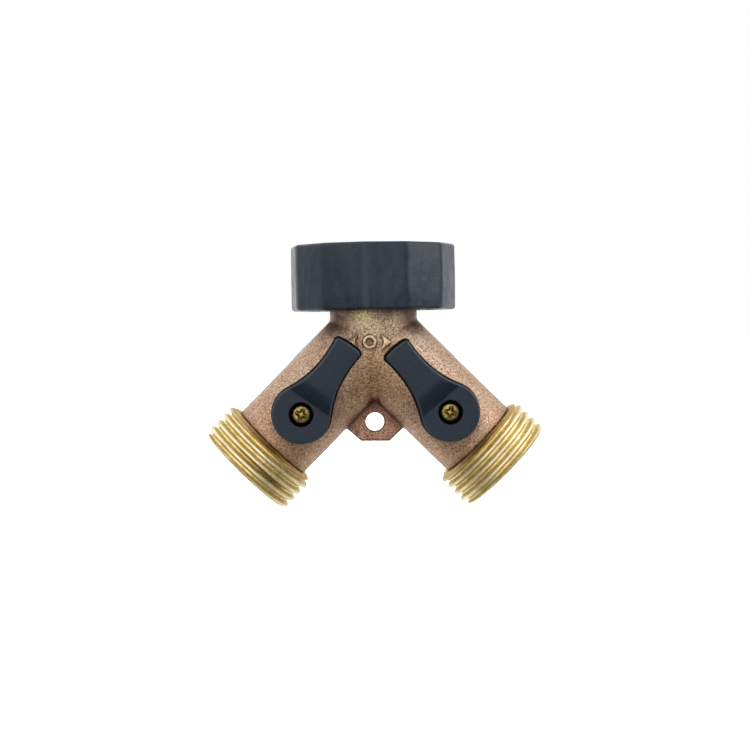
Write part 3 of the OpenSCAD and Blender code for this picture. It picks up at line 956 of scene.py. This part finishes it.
def machined_brass(name="machined_brass", threaded=False, burnt_groove=False):
    """Turned brass: fine lines round the axis, streaks, stains and pits, and on threads painted shade on
    the flanks and a painted highlight on the crests.
    """
    g = Graph(name)
    lines = g.noise(0.11, 2, 0.5, g.stretch((0.05, 0.05, 1)))
    bands = g.noise(0.8, 4, 0.65, g.stretch((0.2, 0.2, 1)))
    blotch = g.noise(3.0, 3, 0.6)
    mottle = g.noise(0.9, 3, 0.6)
    scores = g.noise(0.34, 3, 0.7, g.stretch((0.12, 0.12, 1)))
    metal = g.mix(g.remap(bands, 0.38, 0.62), (0.99, 0.90, 0.66), (0.95, 0.79, 0.39))
    for pattern, start, full, most, colour in [
            (mottle, 0.50, 0.66, 0.5, (0.90, 0.74, 0.30)), (scores, 0.45, 0.34, 0.6, (0.50, 0.36, 0.13)),
            (scores, 0.54, 0.64, 0.6, (1.0, 0.94, 0.74)), (blotch, 0.55, 0.75, 0.4, (0.86, 0.79, 0.58))]:
        metal = g.mix(g.remap(pattern, start, full, 0, most), metal, colour)
    if threaded:
        x, y, z = g.add("ShaderNodeSeparateXYZ", {0: g.position}).outputs
        flat = g.add("ShaderNodeCombineXYZ", {0: x, 1: y}).outputs[0]
        radius = g.add("ShaderNodeVectorMath", {0: flat}, operation="LENGTH").outputs["Value"]
        # Painted shade: the thread flanks, midway between root and crest, turn a darker brown.
        from_mid = g.math("ABSOLUTE", g.minus(radius, (MALE_ROOT_R + MALE_CREST_R) / 2))
        flank_shade = g.times(g.remap(from_mid, 0.62, 0.35), g.remap(mottle, 0.3, 0.6, 0.25, 0.7))
        metal = g.mix(flank_shade, metal, (0.46, 0.33, 0.09))
        foot = g.remap(z, BRANCH_LEN + 1.7, BRANCH_LEN + 0.3)
        foot = g.times(foot, g.remap(blotch, 0.3, 0.6, 0.35, 0.9))
        metal = g.mix(foot, metal, (0.50, 0.30, 0.07))
        # Painted highlight: the thread crests turn paler.
        crest = g.remap(radius, MALE_CREST_R - 0.45, MALE_CREST_R - 0.1, 0, 0.4)
        metal = g.mix(crest, metal, (0.94, 0.84, 0.60))
    tarnish = g.times(g.remap(bands, 0.52, 0.64), g.remap(blotch, 0.44, 0.6))
    metal = g.mix(g.times(tarnish, 0.45 if threaded else 0.15), metal, (0.45, 0.31, 0.07))
    pits = g.times(g.remap(g.cells(1.1), 0.16, 0.08), g.remap(blotch, 0.60, 0.68))
    if burnt_groove:
        streak = g.near((-3.0, -12.0, 42.1), 0.6, 0.5, (10.0, 7.0, 0.6))
        streak = g.times(streak, g.remap(g.noise(0.8), 0.3, 0.5, 0.4, 1.0))
        metal = g.mix(g.times(streak, 0.9), metal, (0.37, 0.22, 0.03))
        cluster = g.times(g.near((-4.9, -12.2, 40.4), 1.6, 2.2), g.remap(g.cells(0.7), 0.28, 0.16))
        pits = g.larger(pits, cluster)
    metal = g.mix(pits, metal, (0.12, 0.07, 0.02))
    normal = g.bump(scores, 0.05, g.bump(lines, 0.014, g.bump(mottle, 0.03, g.bump(blotch, 0.06))))
    rough = g.remap(bands, 0.3, 0.7, 0.40, 0.60)
    return g.finish(Base_Color=metal, Metallic=1.0, Roughness=rough, Normal=normal)


def moulded_plastic(name, colour, gloss, sheen_rough, swell):
    """Dark satin plastic: uneven swells, fine grain, pale scuffs, a painted highlight along the face's
    edge, and painted shade, near black, on the side walls and in hollows.
    """
    g = Graph(name)
    fine = g.noise(0.16, 2, 0.5)
    cloud = g.noise(2.6, 4, 0.6)
    slow = g.noise(7.0, 2, 0.5, g.stretch((1, 1, 0.45)))
    scuff = g.noise(0.35, 3, 0.7, g.stretch((1, 1, 0.15)))
    cross = g.noise(0.5, 3, 0.7, g.stretch((0.3, 0.3, 1)))
    tone = g.mix(g.remap(cloud, 0.35, 0.7), colour, tuple(c * 1.4 for c in colour))
    marks = g.larger(g.remap(scuff, 0.58, 0.75, 0, 0.5), g.remap(cross, 0.60, 0.78, 0, 0.4))
    tone = g.mix(g.times(marks, g.remap(cloud, 0.4, 0.6, 0.2, 1.0)), tone, (0.055, 0.066, 0.078))
    # Painted highlight: a paler tone along the face's outer edge, where light catches it.
    edge = g.add("ShaderNodeAttribute", attribute_name="rim_highlight").outputs["Fac"]
    tone = g.mix(g.times(edge, 0.8), tone, (0.15, 0.17, 0.19))
    # Painted shade: the side walls and the places close to other parts turn near black and lose most of
    # their gloss.
    wall = g.add("ShaderNodeAttribute", attribute_name="wall").outputs["Fac"]
    shade_mask = g.larger(wall, g.remap(g.crease(3.0, whole_scene=True), 0.30, 0.55))
    tone = g.mix(shade_mask, tone, (0.004, 0.004, 0.005))
    rough = g.remap(cloud, 0.3, 0.7, sheen_rough - 0.08, sheen_rough + 0.08)
    rough = g.plus(rough, g.times(shade_mask, 0.4))
    normal = g.bump(fine, 0.014, g.bump(cloud, 0.10, g.bump(slow, swell)))
    shine = g.remap(shade_mask, 0, 1, gloss, 0.03)
    return g.finish(Base_Color=tone, Roughness=rough, Normal=normal, Specular_IOR_Level=shine)


def screw_brass():
    """Dull, blotchy brass, with painted shade in the cross recess."""
    g = Graph("screw_brass")
    blotch = g.noise(0.45, 3, 0.65)
    metal = g.mix(g.remap(blotch, 0.38, 0.62), (0.48, 0.38, 0.14), (0.22, 0.165, 0.05))
    # Painted shade: the cross recess turns dark brown.
    metal = g.mix(g.remap(g.crease(0.8), 0.3, 0.8, 0, 0.7), metal, (0.12, 0.08, 0.02))
    rough = g.remap(blotch, 0.3, 0.7, 0.22, 0.4)
    normal = g.bump(g.noise(0.15, 2), 0.01)
    return g.finish(Base_Color=metal, Metallic=1.0, Roughness=rough, Normal=normal)


def simple(name, colour, metallic, rough, size, depth):
    """A plain finish with slight variation in tone, gloss and surface at one grain size."""
    g = Graph(name)
    grain = g.noise(size, 3, 0.6)
    tone = g.mix(g.remap(grain, 0.3, 0.7), colour, tuple(c * 0.82 for c in colour))
    uneven = g.remap(grain, 0.3, 0.7, rough, rough + 0.1)
    return g.finish(Base_Color=tone, Metallic=metallic, Roughness=uneven, Normal=g.bump(grain, depth))


def paint(piece, material):
    piece.data.materials.clear()
    piece.data.materials.append(material)


# ---- the object ----

def make_object_pieces():
    brass = machined_brass()
    threaded = machined_brass("threaded_brass", threaded=True)
    stained = machined_brass("stained_brass", threaded=True, burnt_groove=True)
    screw = screw_brass()
    plating = simple("ball_plating", (0.62, 0.63, 0.65), 1.0, 0.08, 1.5, 0.004)
    rubber = simple("rubber", (0.02, 0.02, 0.022), 0.0, 0.62, 0.5, 0.02)
    seat_plastic = simple("seat_plastic", (0.78, 0.77, 0.73), 0.0, 0.38, 0.8, 0.01)
    steel = simple("steel", (0.55, 0.56, 0.58), 1.0, 0.26, 0.4, 0.01)
    collar_plastic = moulded_plastic("collar_plastic", (0.0135, 0.0215, 0.034), 0.35, 0.31, 0.6)
    lever_plastic = moulded_plastic("lever_plastic", (0.007, 0.0145, 0.027), 0.29, 0.42, 0.15)
    paint(make_body(), cast_brass())
    paint(make_collar(), collar_plastic)
    paint(make_insert(), brass)
    paint(make_washer(), rubber)
    for side in (LEFT, RIGHT):
        paint(make_nipple(side), stained if side == LEFT else threaded)
        paint(make_lever(side), lever_plastic)
        paint(make_screw(side), screw)
    finishes = {"swivel_snap_ring": steel}
    for side in SIDE_NAMES.values():
        finishes.update({"seat_upstream_" + side: seat_plastic, "seat_downstream_" + side: seat_plastic,
                         "valve_ball_" + side: plating, "valve_stem_" + side: brass,
                         "stem_o_ring_" + side: rubber})
    for name, finish in finishes.items():
        soften(frame["nodes"][name])
        paint(frame["nodes"][name], finish)


def soften(node):
    """Small rounded edges on a CAD solid, without touching its mesh."""
    weld = node.modifiers.new("weld", "WELD")
    weld.merge_threshold = SLIVER * MM
    edge = node.modifiers.new("edge", "BEVEL")
    edge.width, edge.segments, edge.limit_method = 0.12 * MM, 2, "ANGLE"
    edge.angle_limit = math.radians(40)


# ---- stage, lights and camera ----

def make_stage():
    """A plain pale floor, white to the camera and taking no part in the object's light."""
    floor_z, half, rows = -85.0, 3000.0, 12
    steps = np.linspace(-half, half, rows + 1)
    points = [(x, y, floor_z) for y in steps for x in steps]
    side = rows + 1
    faces = [(r * side + c, r * side + c + 1, (r + 1) * side + c + 1, (r + 1) * side + c)
             for r in range(rows) for c in range(rows)]
    floor = make_object("floor", points, faces, sharp=80)
    g = Graph("floor")
    tint = g.mix(g.remap(g.noise(300, 2), 0.3, 0.7), (0.93, 0.93, 0.93), (0.90, 0.90, 0.90))
    paint(floor, g.finish(Base_Color=tint, Roughness=0.9, Emission_Color=(1, 1, 1, 1),
                          Emission_Strength=0.95))
    floor.visible_diffuse = False
    floor.visible_glossy = False
    floor.visible_shadow = False


def make_studio():
    """Pale surroundings that differ by direction, and are plain white where the camera sees them."""
    up_left, up_right, below, ahead = 1.3, 0.85, 0.20, 1.54
    behind_left, behind_right, left_wall, right_wall = 1.15, 1.0, 0.66, 0.5
    world = bpy.data.worlds.new("studio")
    bpy.context.scene.world = world
    world.use_nodes = True
    sky = Nodes(world.node_tree)

    def fade(value, low, high):
        return sky.add("ShaderNodeMapRange", {"Value": value, "From Min": low, "From Max": high},
                       interpolation_type="SMOOTHSTEP").outputs[0]

    def blend(amount, a, b):
        return sky.add("ShaderNodeMix", {0: amount, 2: a, 3: b}).outputs[0]

    toward = sky.add("ShaderNodeTexCoord").outputs["Generated"]
    x, y, z = sky.add("ShaderNodeSeparateXYZ", {0: toward}).outputs
    to_front = sky.add("ShaderNodeVectorMath", {0: toward, 1: (-0.15, -0.98, 0.05)},
                       operation="DOT_PRODUCT").outputs["Value"]
    window = blend(fade(x, -0.3, 0.3), up_left, up_right)
    front = blend(fade(z, -0.25, 0.45), below, window)
    front = blend(fade(to_front, 0.80, 0.95), front, ahead)
    behind = blend(fade(x, -0.3, 0.3), behind_left, behind_right)
    strength = blend(fade(y, -0.15, 0.3), front, behind)
    strength = blend(fade(x, -0.78, -0.97), strength, left_wall)
    strength = blend(fade(x, 0.80, 0.97), strength, right_wall)
    seen = sky.add("ShaderNodeLightPath").outputs["Is Camera Ray"]
    background = world.node_tree.nodes["Background"]
    sky.feed(background.inputs["Strength"], blend(seen, strength, 1.0))
    sky.feed(background.inputs["Color"], (1, 1, 1, 1))


def make_soft_box():
    """One large soft light on the right, a little above."""
    place, target = Vector((330, -120, 120)), Vector((0, 0, JUNCTION_Z))
    data = bpy.data.lights.new("soft_box", "AREA")
    data.shape, data.size, data.size_y = "RECTANGLE", 240 * MM, 300 * MM
    data.energy = 0.52
    light = bpy.data.objects.new("soft_box", data)
    bpy.context.scene.collection.objects.link(light)
    light.location = place * MM
    light.rotation_mode = "QUATERNION"
    light.rotation_quaternion = (target - place).to_track_quat("-Z", "Y")


def make_camera():
    """Front view from a little left of the middle, level with the neck."""
    data = bpy.data.cameras.new("camera")
    camera = bpy.data.objects.new("camera", data)
    bpy.context.scene.collection.objects.link(camera)
    bpy.context.scene.camera = camera
    distance, left_of_middle, above_junction = 400.0, -6.2, 2.8
    sensor, focal_ratio = 36.0, 2.1243
    yaw, pitch, roll = -0.016, -0.030, -0.015
    turn = Matrix.Rotation(yaw, 3, "Z") @ Matrix.Rotation(pitch, 3, "X")
    right, up, ahead = turn.col[0], turn.col[2], turn.col[1]
    tilted_right = right * math.cos(roll) + up * math.sin(roll)
    tilted_up = up * math.cos(roll) - right * math.sin(roll)
    place = Matrix.Identity(4)
    for i, axis in enumerate((tilted_right, tilted_up, -ahead)):
        place.col[i] = (*axis, 0)
    place.translation = Vector((left_of_middle, -distance, JUNCTION_Z + above_junction)) * MM
    camera.matrix_world = place
    data.sensor_width = sensor
    data.lens = sensor * focal_ratio
    data.clip_start, data.clip_end = 0.01, 20.0


make_camera()
make_studio()
make_soft_box()
make_stage()
make_object_pieces()
bpy.context.scene.view_settings.view_transform = "Standard"
